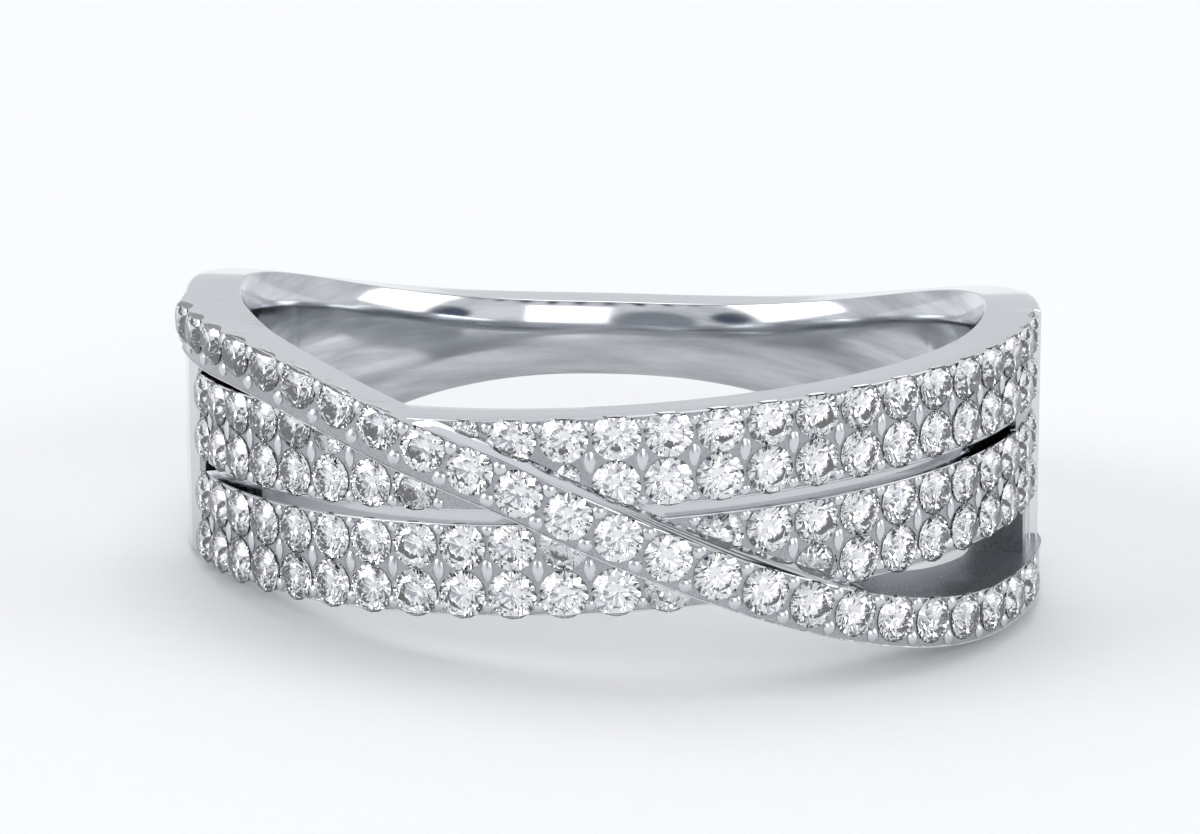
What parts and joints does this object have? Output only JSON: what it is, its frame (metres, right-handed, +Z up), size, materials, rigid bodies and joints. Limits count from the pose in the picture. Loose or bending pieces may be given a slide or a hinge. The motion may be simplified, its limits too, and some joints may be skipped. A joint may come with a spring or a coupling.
{
  "type": "diamond wedding band",
  "caption": "Finger ring with two side-by-side pave bands of round stones, crossed by one raised strand of stones, on a plain tapering shank.",
  "frame": {"origin": "centre of the finger hole, on its axis, at the middle height of the shank's back", "axes": "+Z up from the table on which the ring lies on its side, 4.6 degrees from the axis of the finger hole; -Y towards the middle of the stone-set front; +X towards the side where the strand runs lowest"},
  "size_m": [0.0209, 0.0207, 0.0069],
  "materials": {
    "white_gold": "polished, rhodium plated",
    "diamond": "faceted, colourless"
  },
  "bodies": {
    "root": {"ring_body": "white_gold", "upper_band_stones": "diamond", "lower_band_stones": "diamond", "crossover_stones": "diamond"}
  },
  "joints": []
}
